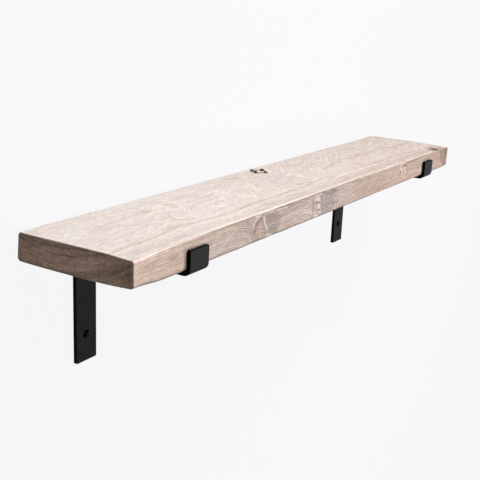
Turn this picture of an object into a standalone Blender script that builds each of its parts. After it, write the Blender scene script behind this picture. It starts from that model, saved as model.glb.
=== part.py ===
"""Bracket wall shelf: a thick worn plank on two bent flat-bar brackets that are screwed to a wall.

Metres, +Z up. The wall is the plane Y = 0 and the shelf faces -Y. The origin is on the wall, midway between
the brackets and level with the tops of their arms.
"""

import math

import bmesh
import bpy
from mathutils import Vector

# Clearances
SEAT = 0.0003  # between pieces that touch on the real shelf
CUT_SPARE = 0.002  # how far a cutter runs past what it cuts
PILOT_SPARE = 0.002  # how far a pilot hole runs past the screw's point

# Plank
BOARD_LENGTH = 1.046
BOARD_DEPTH = 0.182
BOARD_THICKNESS = 0.0395
BOARD_SHIFT = 0.008  # the plank's middle lies this far right of the brackets' middle
WALL_GAP = 0.003  # from the plank's back to the wall
BACK_ARRIS = 0.005
FRONT_TOP_ARRIS = 0.0022
END_ARRIS = 0.0018
FRONT_STRIP = 0.035  # depth of the strip along the front that falls forward
FRONT_FALL = 0.0012

# Brackets, each one flat bar bent twice
BRACKET_SPACING = 0.787
BAR_WIDTH = 0.040
BAR_THICKNESS = 0.006
BEND_RADIUS = 0.0045  # inside the bend
LEG_HEIGHT = 0.1708  # from the arm's top to the leg's end
LIP_HEIGHT = 0.0278  # from the arm's top to the lip's end
BAR_CORNER = 0.0018  # rounding of the bar's four end corners
BAR_ARRIS = 0.0006

# Wall screws, two in each leg
WALL_SCREW_DIAMETER = 0.005
WALL_SCREW_LENGTH = 0.050
WALL_SCREW_HEAD = 0.0105
WALL_SCREW_HEAD_HEIGHT = 0.0036
UPPER_SCREW_DROP = 0.034  # below the arm's top
LOWER_SCREW_RISE = 0.0388  # above the leg's end

# Plank screws, two in each arm
BOARD_SCREW_DIAMETER = 0.0045
BOARD_SCREW_LENGTH = 0.030
BOARD_SCREW_HEAD = 0.009
BOARD_SCREW_HEAD_HEIGHT = 0.0030
BACK_SCREW_REACH = 0.045  # from the wall
FRONT_SCREW_REACH = 0.040  # from the lip's inner face

# What both kinds of screw share
HEAD_RIM = 0.0006  # straight side of the head, under the dome
POINT_LENGTH = 0.007
RECESS_SPAN = 0.0048  # cross recess, tip to tip
RECESS_SLOT = 0.0012
RECESS_DEPTH = 0.0018
RECESS_TAPER = 0.55  # span at the bottom of the recess, as a share of its span at the top

# Wall plugs
PLUG_DIAMETER = 0.008
PLUG_LENGTH = 0.036
PLUG_SET_BACK = 0.003  # how far the plug's mouth lies behind the wall's face
PLUG_RIDGES = 5
PLUG_RIDGE_RISE = 0.0004
PLUG_RIDGE_STEP = 0.0005  # length of the step at the back of a ridge
PLUG_TIP_LENGTH = 0.006
PLUG_TIP_WALL = 0.0007  # wall of the plug at its far end
PLUG_COLLAR = 0.005  # plain stretch behind the mouth
PLUG_SPLIT_START = 0.014  # where the lengthwise split begins
PLUG_SPLIT_WIDTH = 0.0014

# Facets
ARC_STEP = math.radians(11.25)
TURN_STEPS = 20
DOME_STEPS = 5
CORNER_SEGMENTS = 4
BAR_ARRIS_SEGMENTS = 2
END_ARRIS_SEGMENTS = 3
SHARP_ANGLE = math.radians(50)

# Worked out from the sizes above
LIP_INNER = WALL_GAP + BOARD_DEPTH + SEAT  # from the wall to the lip's inner face
FRONT_BOTTOM_ARRIS = BEND_RADIUS + SEAT  # eased to clear the bend inside the lip


def clear_scene():
    for old in list(bpy.data.objects):
        bpy.data.objects.remove(old)


def finish(name, colour, roughness, metallic):
    made = bpy.data.materials.new(name)
    made.use_nodes = True
    shader = made.node_tree.nodes["Principled BSDF"]
    shader.inputs["Base Color"].default_value = (*colour, 1)
    shader.inputs["Roughness"].default_value = roughness
    shader.inputs["Metallic"].default_value = metallic
    return made


def add_object(name, mesh, parent=None, location=(0, 0, 0), tilt=0.0, material=None):
    """A named object; tilt turns it about X."""
    made = bpy.data.objects.new(name, mesh)
    bpy.context.scene.collection.objects.link(made)
    made.parent = parent
    made.location = location
    made.rotation_euler = (tilt, 0, 0)
    if material:
        mesh.materials.append(material)
    return made


def rounded_outline(corners):
    """A closed outline's points. Each corner is (y, z, radius), and a radius of 0 leaves it sharp."""
    outline = []
    for index, (y, z, radius) in enumerate(corners):
        corner = Vector((y, z))
        if radius == 0:
            outline.append(corner)
            continue
        before = (Vector(corners[index - 1][:2]) - corner).normalized()
        after = (Vector(corners[(index + 1) % len(corners)][:2]) - corner).normalized()
        half = math.acos(before.dot(after)) / 2
        centre = corner + (before + after).normalized() * (radius / math.sin(half))
        first = corner + before * (radius / math.tan(half)) - centre
        last = corner + after * (radius / math.tan(half)) - centre
        start = math.atan2(first.y, first.x)
        turn = math.remainder(math.atan2(last.y, last.x) - start, math.tau)
        steps = math.ceil(abs(turn) / ARC_STEP - 1e-6)
        for step in range(steps + 1):
            angle = start + turn * step / steps
            outline.append(centre + Vector((math.cos(angle), math.sin(angle))) * radius)
    return outline


def prism(outline, width):
    """A bmesh with this (y, z) outline, as wide as this along X, with its middle on X = 0."""
    shape = bmesh.new()
    ring = [shape.verts.new((-width / 2, y, z)) for y, z in outline]
    extruded = bmesh.ops.extrude_face_region(shape, geom=[shape.faces.new(ring)])
    moved = [item for item in extruded["geom"] if isinstance(item, bmesh.types.BMVert)]
    bmesh.ops.translate(shape, verts=moved, vec=(width, 0, 0))
    bmesh.ops.recalc_face_normals(shape, faces=shape.faces)
    return shape


def mesh_from(shape, name):
    mesh = bpy.data.meshes.new(name)
    shape.to_mesh(mesh)
    shape.free()
    mesh.shade_smooth()
    mesh.set_sharp_from_angle(angle=SHARP_ANGLE)
    return mesh


def soften(target, width, segments):
    """Rounds the sharp edges of an object, and leaves those of its arcs."""
    bevel = target.modifiers.new("Arris", "BEVEL")
    bevel.limit_method = "ANGLE"
    bevel.angle_limit = SHARP_ANGLE
    bevel.width = width
    bevel.segments = segments


def turned(name, profile, parent, location, tilt, material=None):
    """A solid of revolution from (radius, height) points, listed down its outer side from the top."""
    mesh = bpy.data.meshes.new(name)
    edges = [(index, index + 1) for index in range(len(profile) - 1)]
    if profile[0][0] > 0:
        edges.append((len(profile) - 1, 0))
    mesh.from_pydata([(radius, 0, height) for radius, height in profile], edges, [])
    made = add_object(name, mesh, parent, location, tilt, material)
    turn = made.modifiers.new("Turn", "SCREW")
    turn.steps = TURN_STEPS
    turn.render_steps = TURN_STEPS
    turn.use_merge_vertices = True
    turn.merge_threshold = 0.00001
    return made


def as_cutter(cutter):
    cutter.hide_render = True
    cutter.display_type = "WIRE"
    return cutter


def drill(name, diameter, depth, parent, location, tilt):
    """A cutter for a round hole from its location along its own -Z."""
    radius = diameter / 2
    profile = [(0, CUT_SPARE), (radius, CUT_SPARE), (radius, -depth), (0, -depth)]
    return as_cutter(turned(name, profile, parent, location, tilt))


def cut(target, cutter):
    boolean = target.modifiers.new(cutter.name, "BOOLEAN")
    boolean.operation = "DIFFERENCE"
    boolean.solver = "EXACT"
    boolean.object = cutter


def make_board(material):
    """The plank. Its own origin is the middle of its lower back edge."""
    corners = [
        (0, 0, BACK_ARRIS),
        (0, BOARD_THICKNESS, BACK_ARRIS),
        (FRONT_STRIP - BOARD_DEPTH, BOARD_THICKNESS, 0),
        (-BOARD_DEPTH, BOARD_THICKNESS - FRONT_FALL, FRONT_TOP_ARRIS),
        (-BOARD_DEPTH, 0, FRONT_BOTTOM_ARRIS),
    ]
    shape = prism(rounded_outline(corners), BOARD_LENGTH)
    place = (BOARD_SHIFT, -WALL_GAP, SEAT)
    board = add_object("shelf_board", mesh_from(shape, "shelf_board"), None, place, 0, material)
    smallest_arris = min(BACK_ARRIS, FRONT_TOP_ARRIS, FRONT_BOTTOM_ARRIS)
    soften(board, min(END_ARRIS, 0.9 * smallest_arris), END_ARRIS_SEGMENTS)
    return board


def make_bracket(name, parent, material):
    """One bent bar: a leg on the wall, an arm under the plank and a lip in front of it."""
    outer = BEND_RADIUS + BAR_THICKNESS
    corners = [
        (0, -LEG_HEIGHT, 0),
        (0, 0, outer),
        (-LIP_INNER, 0, BEND_RADIUS),
        (-LIP_INNER, LIP_HEIGHT, 0),
        (-LIP_INNER - BAR_THICKNESS, LIP_HEIGHT, 0),
        (-LIP_INNER - BAR_THICKNESS, -BAR_THICKNESS, outer),
        (-BAR_THICKNESS, -BAR_THICKNESS, BEND_RADIUS),
        (-BAR_THICKNESS, -LEG_HEIGHT, 0),
    ]
    shape = prism(rounded_outline(corners), BAR_WIDTH)
    ends = [edge for edge in shape.edges if is_end_corner(edge)]
    bmesh.ops.bevel(
        shape,
        geom=ends,
        offset=BAR_CORNER,
        segments=CORNER_SEGMENTS,
        profile=0.5,
        affect="EDGES",
    )
    bracket = add_object(name, mesh_from(shape, name), parent, material=material)
    soften(bracket, BAR_ARRIS, BAR_ARRIS_SEGMENTS)
    return bracket


def is_end_corner(edge):
    """Whether an edge of the plain bar is one of the four that run through its thickness at its ends."""
    first, second = (vert.co for vert in edge.verts)
    along_thickness = abs(abs(first.y - second.y) - BAR_THICKNESS) < 1e-6
    level = abs(first.z - second.z) < 1e-6
    return along_thickness and level and abs(first.x - second.x) < 1e-6


def cross_recess(name, head_height, parent):
    """A tapered cross cutter in the top of a screw's head."""
    half_span, half_slot = RECESS_SPAN / 2, RECESS_SLOT / 2
    quarter = [(half_span, -half_slot), (half_span, half_slot), (half_slot, half_slot)]
    shape = bmesh.new()
    ring = []
    for turn in range(4):
        cosine, sine = math.cos(turn * math.pi / 2), math.sin(turn * math.pi / 2)
        for x, y in quarter:
            place = (x * cosine - y * sine, x * sine + y * cosine, head_height + CUT_SPARE)
            ring.append(shape.verts.new(place))
    extruded = bmesh.ops.extrude_face_region(shape, geom=[shape.faces.new(ring)])
    lower = [item for item in extruded["geom"] if isinstance(item, bmesh.types.BMVert)]
    for vert in lower:
        vert.co.x *= RECESS_TAPER
        vert.co.y *= RECESS_TAPER
        vert.co.z = head_height - RECESS_DEPTH
    bmesh.ops.recalc_face_normals(shape, faces=shape.faces)
    mesh = bpy.data.meshes.new(name)
    shape.to_mesh(mesh)
    shape.free()
    return as_cutter(add_object(name, mesh, parent))


def make_screw(name, diameter, length, head, head_height, parent, location, tilt, material):
    """A round-head screw whose own origin is under its head, with the head towards its own +Z."""
    profile = []
    for step in range(DOME_STEPS + 1):
        angle = math.pi / 2 * step / DOME_STEPS
        height = HEAD_RIM + (head_height - HEAD_RIM) * math.cos(angle)
        profile.append((head / 2 * math.sin(angle), height))
    profile += [
        (head / 2, 0),
        (diameter / 2, 0),
        (diameter / 2, POINT_LENGTH - length),
        (0, -length),
    ]
    screw = turned(name, profile, parent, location, tilt, material)
    cut(screw, cross_recess(name + "_recess", head_height, screw))
    return screw


def make_plug(name, parent, location, tilt, material):
    """A ribbed, split wall plug whose mouth is at its own origin and which runs along its own -Z."""
    radius = PLUG_DIAMETER / 2
    bore = WALL_SCREW_DIAMETER / 2 + SEAT
    ridged = PLUG_LENGTH - PLUG_COLLAR - PLUG_TIP_LENGTH
    profile = [(bore, 0), (radius, 0), (radius, -PLUG_COLLAR)]
    for ridge in range(PLUG_RIDGES):
        top = PLUG_COLLAR + ridged * ridge / PLUG_RIDGES
        bottom = PLUG_COLLAR + ridged * (ridge + 1) / PLUG_RIDGES
        profile.append((radius - PLUG_RIDGE_RISE, -top - PLUG_RIDGE_STEP))
        profile.append((radius, -bottom))
    profile += [(bore + PLUG_TIP_WALL, -PLUG_LENGTH), (bore, -PLUG_LENGTH)]
    plug = turned(name, profile, parent, location, tilt, material)
    shape = bmesh.new()
    bmesh.ops.create_cube(shape, size=1)
    reach = PLUG_LENGTH - PLUG_SPLIT_START + CUT_SPARE
    bmesh.ops.scale(shape, vec=(PLUG_SPLIT_WIDTH, PLUG_DIAMETER + CUT_SPARE, reach), verts=shape.verts)
    bmesh.ops.translate(shape, vec=(0, 0, -PLUG_SPLIT_START - reach / 2), verts=shape.verts)
    cut(plug, as_cutter(add_object(name + "_split", mesh_from(shape, name + "_split"), plug)))
    return plug


def fix_leg(side, bracket, parent, screw_black, nylon):
    """The leg's two wall screws and their plugs and holes."""
    to_front = math.pi / 2
    heights = {"upper": -UPPER_SCREW_DROP, "lower": LOWER_SCREW_RISE - LEG_HEIGHT}
    for level, height in heights.items():
        under_head = (0, -BAR_THICKNESS - SEAT, height)
        hole = WALL_SCREW_DIAMETER + 2 * SEAT
        hole_depth = BAR_THICKNESS + SEAT + CUT_SPARE
        hole_name = f"{side}_leg_hole_{level}"
        cut(bracket, drill(hole_name, hole, hole_depth, parent, under_head, to_front))
        make_screw(
            f"{side}_wall_screw_{level}",
            WALL_SCREW_DIAMETER,
            WALL_SCREW_LENGTH,
            WALL_SCREW_HEAD,
            WALL_SCREW_HEAD_HEIGHT,
            parent,
            under_head,
            to_front,
            screw_black,
        )
        mouth = (0, PLUG_SET_BACK, height)
        make_plug(f"{side}_wall_plug_{level}", parent, mouth, to_front, nylon)


def fix_arm(side, bracket, board, parent, screw_black):
    """The arm's two screws up into the plank, with their holes through the arm and in the plank."""
    to_floor = math.pi
    reaches = {"back": BACK_SCREW_REACH, "front": LIP_INNER - FRONT_SCREW_REACH}
    for place, reach in reaches.items():
        under_head = (0, -reach, -BAR_THICKNESS - SEAT)
        hole = BOARD_SCREW_DIAMETER + 2 * SEAT
        hole_name = f"{side}_arm_hole_{place}"
        arm_depth = BAR_THICKNESS + SEAT + CUT_SPARE
        cut(bracket, drill(hole_name, hole, arm_depth, parent, under_head, to_floor))
        pilot_name = f"{side}_pilot_hole_{place}"
        pilot_depth = BOARD_SCREW_LENGTH + PILOT_SPARE
        cut(board, drill(pilot_name, hole, pilot_depth, parent, under_head, to_floor))
        make_screw(
            f"{side}_board_screw_{place}",
            BOARD_SCREW_DIAMETER,
            BOARD_SCREW_LENGTH,
            BOARD_SCREW_HEAD,
            BOARD_SCREW_HEAD_HEIGHT,
            parent,
            under_head,
            to_floor,
            screw_black,
        )


def main():
    clear_scene()
    wood = finish("worn_softwood", (0.56, 0.46, 0.38), 0.75, 0)
    coat = finish("black_powder_coat", (0.025, 0.024, 0.025), 0.55, 0)
    screw_black = finish("black_screw", (0.012, 0.012, 0.013), 0.3, 0.6)
    nylon = finish("grey_nylon", (0.35, 0.36, 0.37), 0.5, 0)
    board = make_board(wood)
    for side, direction in (("left", -1), ("right", 1)):
        place = (direction * BRACKET_SPACING / 2, 0, 0)
        bracket_set = add_object(f"{side}_bracket_set", None, None, place)
        bracket = make_bracket(f"{side}_bracket", bracket_set, coat)
        fix_leg(side, bracket, bracket_set, screw_black, nylon)
        fix_arm(side, bracket, board, bracket_set, screw_black)


main()
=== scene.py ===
from math import cos, inf, pi, radians, sin, sqrt, tau

import bmesh
import bpy
import numpy as np
from mathutils import Matrix, Vector, noise


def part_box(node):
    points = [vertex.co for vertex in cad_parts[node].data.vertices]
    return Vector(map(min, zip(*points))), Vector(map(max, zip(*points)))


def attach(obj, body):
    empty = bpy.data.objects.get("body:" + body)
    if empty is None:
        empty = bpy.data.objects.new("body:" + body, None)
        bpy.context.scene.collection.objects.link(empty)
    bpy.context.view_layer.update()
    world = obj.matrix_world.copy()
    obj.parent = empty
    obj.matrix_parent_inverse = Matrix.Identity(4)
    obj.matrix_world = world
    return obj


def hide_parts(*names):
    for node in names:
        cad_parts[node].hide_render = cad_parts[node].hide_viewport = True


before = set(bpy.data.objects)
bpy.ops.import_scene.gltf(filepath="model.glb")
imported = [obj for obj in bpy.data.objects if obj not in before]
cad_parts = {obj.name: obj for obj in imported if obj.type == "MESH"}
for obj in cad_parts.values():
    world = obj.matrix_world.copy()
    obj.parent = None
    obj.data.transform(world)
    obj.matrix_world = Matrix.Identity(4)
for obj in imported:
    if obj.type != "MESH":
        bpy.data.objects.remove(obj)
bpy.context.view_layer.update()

# A bracket wall shelf, dressed: worn softwood plank, powder-coated brackets, black screws and nylon plugs.
# Metres, +Z up. The wall is the plane Y = 0 and the room lies on its -Y side.
MM = 0.001

# Camera, fitted to the straight edges of the photograph
CAMERA_PLACE = (-1.2297, -0.7623, 0.3264)
CAMERA_YAW = 58.377  # degrees from +Y towards +X
CAMERA_PITCH = 15.831  # degrees below the horizon
CAMERA_ROLL = 2.499  # degrees
CAMERA_LENS = 64.83  # millimetres, on a 36 mm sensor
SENSOR = 36.0

# Light and stage
SKY_LEVEL = 0.17
FLOOR_BOUNCE = 0.35
PALE = (0.930, 0.930, 0.948)
WALL_PALE = (0.955, 0.955, 0.973)
FLOOR_HEIGHT = -1.6
FLOOR_RADIUS = 9.0
FLOOR_FADE = (0.45, 0.95)  # shares of its radius between which it fades out
WALL_SETBACK = 0.6 * MM
WALL_HALF_WIDTH = 5.0
WALL_TOP = 1.6
FLOOR_SHADE = 0.25  # how much of the floor takes light and shadow
WALL_SHADE = 0.06

# Plank: its box comes from the CAD model, and its marks are placed in millimetres,
# along from the left end, deep from the back and high from the underside
BOARD_LOW, BOARD_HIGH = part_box("shelf_board")
BOARD_SIZE = np.array(BOARD_HIGH - BOARD_LOW) / MM
LENGTH, DEPTH, THICKNESS = BOARD_SIZE
RING_STEP = 2.8
PITH_DEEP = 60.0
PITH_HIGH = 205.0
PITH_RISE = 26.0  # over the plank's length
STAR_KNOT = (231.0, 62.0)  # along, deep: a knot with a pinkish heart and rays
BARK_KNOT = (532.0, 24.0)  # along, deep: a loose knot near the back edge
FAN_KNOT = [(271, 35), (279, 35), (291, 14), (294, 2), (258, 2), (258, 20)]  # its outline on the front
# Outlines of the star's heart and a dent on the top, and of a grey patch on the front
STAR_HEART = [(228, 49), (242, 51), (238, 65), (231.5, 75.4), (221, 66)]
DENT = [(1004, 143), (1003, 156), (998, 168), (990, 179), (962, 179), (968, 160), (978, 147)]
GREY_PATCH = [(286, 36), (303, 35), (326, 30.5), (330.5, 17), (318, 4.5), (295, 9)]

# Rounding of the plank's arrises
BACK_ROUND = 5.0
BACK_ROUND_RIGHT = 2.2
FRONT_TOP_ROUND = 0.9
FRONT_TOP_ROUND_LEFT = 3.6
FRONT_BOTTOM_ROUND = 4.8
FRONT_BOTTOM_ROUND_RIGHT = 2.2
END_ROUND = 1.5
RIGHT_END_ROUND = 6.0  # at its front; its back is sharper

# The strip along the front of the top
STEP_DEEP = 145.0  # where it begins, on the whole
# Where it begins, as (along, deep) points
STEP_LINE = [
    (0, 147), (58, 145), (88, 143), (123, 139), (151, 137), (183, 142), (239, 147), (293, 144), (345, 143),
    (376, 145), (450, 141), (557, 137), (646, 143), (753, 143), (807, 141), (869, 144), (922, 149),
    (979, 155), (1046, 157),
]
STEP_FALL = 0.15  # how much lower it lies
STEP_FALL_LEFT = 1.7  # how much lower still at the left end's front
STEP_FALL_RIGHT = 0.9

# The front's top arris: a split in it, and pale wear with a painted highlight behind it, both as (along,
# strength) points
CRACK_SHARES = [
    (60, 0.0), (130, 0.3), (160, 0.65), (190, 0.95), (245, 0.95), (262, 0.45), (310, 0.5), (332, 1.0),
    (365, 1.0), (395, 0.8), (560, 0.9), (620, 0.6), (760, 0.4), (900, 0.4), (980, 0.0),
]
CRACK_DOWN = 1.25  # how far it reaches down the front
CRACK_BACK = 2.8  # and back on the top
CRACK_DEPTH = 0.2
ARRIS_SHARES = [
    (70, 0.0), (90, 0.2), (130, 0.3), (155, 0.8), (240, 0.85), (260, 0.4), (290, 0.9), (395, 0.85),
    (435, 0.4), (490, 0.6), (560, 0.6), (600, 0.45), (660, 0.3), (726, 0.8), (797, 0.4),
    (930, 0.6), (970, 0.0),
]
ARRIS_BAND = ((1.2, 2.6), (5.0, 9.0))  # where, from the front, the wear and painted highlight come and go

# How far the plank's skin lies below its rounded box
SKIN_DIP = 0.2  # broad unevenness
ARRIS_DIP = 0.3  # worn arrises
MARK_DIPS = {"dark": 0.25, "core": 0.1, "shade": 0.2}
PALE_RISE = 0.25  # how much higher pale marks stand on the front
NOTCH_ALONG = 783.0  # a notch in the front's top arris
NOTCH_HIGH = 37.0
NOTCH_DIP = 1.2

# Wear of the plank's ends; the right one isn't sawn square
LEFT_WEAR = 70.0  # how far it reaches along
LEFT_CROWN = 0.6  # how far the left end's underside is worn up in the middle
LEFT_CROWN_BACK = 1.2  # how much further at its back
LEFT_CROWN_FRONT = 3.0
LEFT_CORNER = 3.0  # how far its back corner is worn
RIGHT_WEAR_START = 975.0
RIGHT_BACK_EXTRA = 4.0  # how much longer the right end's back corner is
RIGHT_FRONT_SHORT = 3.6  # how much shorter its front corner is
RIGHT_FRONT_SETBACK = 2.4  # how far that corner is worn back from the front
RIGHT_TOP_WEAR = 1.5  # how far that corner is worn down
RIGHT_UNDER_WEAR = 1.0  # and up

# The plank's lattice
RIM = 6.0  # how far from the arrises its steps are small
RIM_STEP = 1.5
SKIN_TOLERANCE = 0.01
# Areas round the knots where it is finer: left, right, low and high
TOP_FINE_AREAS = [(145, 290, 28, 126), (504, 562, 3, 47), (976, 1014, 145, 182)]
FRONT_FINE_AREAS = [(250, 334, 0, 40), (396, 462, 0, 40), (768, 814, 14, 40)]

# Tones that are laid on the wood
TONES = ("pale", "tan", "brown", "dark", "core", "grey", "pink", "shade", "stain")
FACING = (0.5, 0.8)  # how far the skin turns to a face before the face's marks show

# Strokes on the top: a tone, a line of (along, deep) points, where it fades out, and its strength
TOP_STROKES = [
    # the star: rays, heart's rims, bright spots, ticks and a hook
    ("pale", [(221, 51), (201, 54), (189, 52.5)], 3.6, 0.75),
    ("pale", [(205, 60), (196, 66.5), (185, 64.5), (166, 71.5), (150, 79)], 3.6, 0.6),
    ("pale", [(221.6, 48.5), (214, 42), (212.6, 34.5)], 4.0, 0.55),
    ("tan", [(202, 50.3), (191, 50.8), (179, 50.5)], 2.8, 0.36),
    ("tan", [(193, 56.2), (185, 58.7), (175, 59.2)], 3.0, 0.38),
    ("pale", [(176.3, 79.3), (170.5, 83.8), (164.7, 88.3)], 3.6, 0.65),
    ("pale", [(205, 62), (192.4, 71)], 3.8, 0.6),
    ("pale", [(251, 31), (248, 43), (247, 52)], 4.2, 0.55),
    ("pale", [(214.4, 68.3), (216.5, 74.6), (219.5, 81.9)], 4.4, 0.8),
    ("pale", [(237, 75.7), (229.5, 81.2)], 3.4, 1.0),
    ("pale", [(232, 84), (221.6, 92)], 2.3, 0.8),
    ("pale", [(235, 89.3), (223.6, 98)], 2.3, 0.7),
    ("tan", [(231, 82.9), (220.6, 90.8)], 1.8, 0.2),
    ("tan", [(237.7, 90.2), (229.3, 96.6)], 2.4, 0.15),
    ("pale", [(195.7, 89.8), (183.5, 102.2), (178.3, 109.1), (184.2, 117.5)], 3.0, 0.65),
    ("tan", [(173.5, 112.6), (177, 117.5), (184, 122)], 3.2, 0.5),
    ("tan", [(197, 83.7), (183.5, 98.4), (172, 110.8)], 5.0, 0.2),
    # streaks and dashes between the star and the loose knot
    ("pale", [(263, 104), (270, 111), (281, 115)], 4.6, 1.0),
    ("pale", [(356, 97), (342, 104)], 4.2, 0.6),
    ("pale", [(358, 104), (344, 111)], 4.2, 0.6),
    ("pale", [(363, 110), (349, 117)], 4.2, 0.6),
    ("pale", [(368, 115), (354, 122)], 4.2, 0.5),
    ("pale", [(399, 78), (428, 73), (397, 100), (418, 99)], 5.0, 0.5),
    ("tan", [(436, 21), (455, 30)], 7.5, 0.22),
    ("tan", [(431, 140), (441, 146)], 4.0, 0.42),
    ("tan", [(483, 125), (491, 133)], 5.0, 0.6),
    ("tan", [(503, 130), (510, 138)], 5.0, 0.45),
    # lines along the grain at the left and right
    ("tan", [(57, 69), (108, 59), (144, 58), (176, 56), (205, 50)], 4.2, 0.14),
    ("tan", [(65, 72), (100, 78), (119, 86)], 4.0, 0.13),
    ("tan", [(122, 136.5), (135, 135), (149, 137.7), (172, 139)], 3.6, 0.34),
    ("tan", [(626, 101), (691, 86), (736, 83), (800, 85), (872, 87), (937, 93), (1003, 98)], 5.0, 0.24),
    ("tan", [(715, 114), (719, 126)], 7.0, 0.30),
    ("pale", [(556, 83), (550, 92), (542, 103)], 5.0, 0.7),
    ("pale", [(606, 146), (676, 147), (741, 149)], 4.6, 0.6),
    # the loose knot: pale bark round it and its crevices
    ("pale", [(552.9, 11.3), (558.4, 13), (554.3, 20.4), (543.3, 33.9), (533, 44)], 4.2, 0.85),
    ("pale", [(507.6, 24.8), (508.6, 33.2), (517.5, 43.5)], 4.4, 0.7),
    ("brown", [(514, 29.4), (520.4, 35), (526, 39.6)], 7.0, 0.9),
    ("brown", [(523, 17.6), (510, 25.4)], 3.4, 0.7),
    ("dark", [(534.5, 7.4), (519, 16.8)], 3.7, 0.95),
    ("dark", [(528, 18.8), (511.5, 28.8)], 3.9, 1.0),
    ("dark", [(534.6, 11.6), (527, 17)], 2.2, 0.6),
    # a dent and a worn corner at the right
    ("dark", [(986, 158), (983, 168), (979, 176)], 12.0, 0.3),
    ("dark", [(984, 166), (980, 175)], 9.0, 0.6),
    ("tan", [(1043, 15), (1041, 110), (1035, 168)], 7.0, 0.4),
    ("tan", [(1007.6, 172), (1010.6, 181)], 11.0, 0.32),
    ("dark", [(997, 179), (1001, 182)], 4.5, 0.6),
    # the left end's arris: pale wear and a painted highlight
    ("pale", [(1.5, 6), (1.5, 174)], 4.5, 0.6),
]
# Patches on the top: a tone, a convex outline of (along, deep) corners, the softness of its edge,
# and its strength
TOP_PATCHES = [
    ("tan", STAR_HEART, 2.5, 0.12),
    ("pink", STAR_HEART, 2.5, 0.22),
    ("core", [(536.8, 10.2), (544.5, 18.1), (530.2, 26.8), (522.5, 18.9)], 1.5, 0.85),
    ("dark", [(549.6, 14.4), (554.6, 18.8), (539.4, 31.0), (530.4, 26.6)], 1.6, 1.0),
    ("dark", [(538.2, 30.2), (542.0, 32.3), (530.7, 41.5), (521.5, 42.6), (521.4, 38.6)], 1.6, 0.95),
    ("grey", [(445, 60), (480, 45), (525, 60), (520, 112), (470, 118)], 16, 0.45),
    ("shade", DENT, 6.0, 0.62),
    ("tan", DENT, 6.0, 0.35),
]
# Strokes on the front, likewise, through (along, high) points
FRONT_STROKES = [
    # a knot that fans out: pale rays, dark hollows and a pinkish heart
    ("pale", [(271, 37.3), (264.7, 35.4), (261, 32.6), (255.8, 26.8), (257.6, 21.6)], 2.7, 0.65),
    ("pale", [(262, 37.5), (275, 37)], 2.4, 0.75),
    ("pale", [(282.5, 33.3), (286.8, 24), (291.5, 16.7), (294.5, 14)], 2.6, 0.7),
    ("pale", [(291, 5.5), (306.5, 2.5)], 3.4, 0.6),
    ("shade", [(277.3, 32.6), (267.9, 28.5), (262.7, 21.9), (260.8, 14.7)], 4.6, 0.6),
    ("shade", [(280.3, 35.8), (280.3, 28.8), (283.5, 17)], 3.0, 0.5),
    ("shade", [(287.4, 17.6), (289.9, 5.7)], 2.4, 0.6),
    ("pink", [(277.2, 20.4), (274.4, 14.6), (276.3, 8.6), (275.9, 4)], 4.2, 0.8),
    ("pink", [(265.3, 14.4), (267, 10.6)], 3.2, 0.6),
    # light and dark touches over the grey patch beside it
    ("pale", [(297, 37), (309, 36.8)], 2.2, 0.55),
    ("pale", [(318, 36.4), (349, 35.7)], 1.6, 0.6),
    ("shade", [(305, 35), (307, 33.8)], 2.4, 0.5),
    ("shade", [(309.5, 31), (311.5, 30.4)], 2.4, 0.5),
    # the valley and gaps of the scalloped knot
    ("shade", [(430.3, 28), (431, 20), (431, 13.6), (430.5, 8)], 5.5, 0.4),
    ("shade", [(435.4, 26.9), (444, 25), (452.5, 23.9)], 1.7, 0.8),
    ("shade", [(443.7, 13.3), (454.3, 11.4)], 1.7, 0.8),
    ("shade", [(443.1, 8.9), (452.6, 5.3)], 1.6, 0.8),
    ("pale", [(441.5, 10.7), (450, 9)], 1.8, 0.7),
    ("pale", [(433.5, 4.7), (440, 5)], 2.2, 0.7),
    ("pale", [(438, 36.4), (458, 37.2)], 2.0, 0.8),
    ("pale", [(505, 37.3), (535, 37.1), (566, 36.9)], 1.6, 0.55),
    # a second scalloped knot, and a split beyond it
    ("shade", [(789.6, 33.4), (805, 31.6)], 2.6, 0.85),
    ("shade", [(776.5, 25.4), (777.5, 21.6)], 3.0, 0.8),
    ("shade", [(772, 37), (775, 27)], 2.2, 0.45),
    ("shade", [(806.6, 35), (812, 18)], 4.0, 0.25),
    ("shade", [(809.6, 36), (848.2, 36.6), (887.8, 37.9)], 1.7, 0.6),
    # the worn right end
    ("pale", [(982.4, 36), (982.8, 28.8), (981.8, 23.7), (989, 14), (996.7, 7.7)], 4.0, 0.22),
    ("pale", [(1005.6, 34), (1008.2, 23.7)], 3.4, 0.3),
    ("pale", [(996.7, 8), (1004, 6)], 3.4, 0.5),
    # the left end's arris: pale wear and a painted highlight
    ("pale", [(3, 3), (3, 36)], 7.0, 0.3),
]
FRONT_PATCHES = [
    ("shade", FAN_KNOT, 2.0, 0.1),
    ("grey", GREY_PATCH, 4.5, 0.5),
    ("shade", GREY_PATCH, 4.5, 0.3),
    ("stain", [(984, 55), (983, 22), (998, -10), (1056, -15), (1056, 55)], 19.0, 0.95),
]
# Pale scallops on the front: along, high, their half sizes and strength
SCALLOPS = [
    (447.8, 29.6, 4.3, 3.3, 1.0),
    (449.4, 18.6, 4.6, 3.9, 1.0),
    (454.0, 8.2, 4.0, 2.4, 1.0),
    (444.0, 4.6, 7.0, 2.0, 0.9),
    (438.0, 31.0, 4.5, 3.2, 0.35),
    (789.6, 38.4, 6.0, 1.7, 0.9),
    (779.0, 36.6, 4.0, 1.8, 0.8),
    (798.4, 28.2, 4.6, 2.3, 0.9),
    (775.0, 29.0, 2.8, 2.4, 0.8),
    (785.6, 27.2, 3.8, 2.4, 0.8),
    (801.8, 21.9, 3.8, 2.2, 0.6),
    (784.0, 18.1, 5.2, 2.0, 0.7),
]

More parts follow.
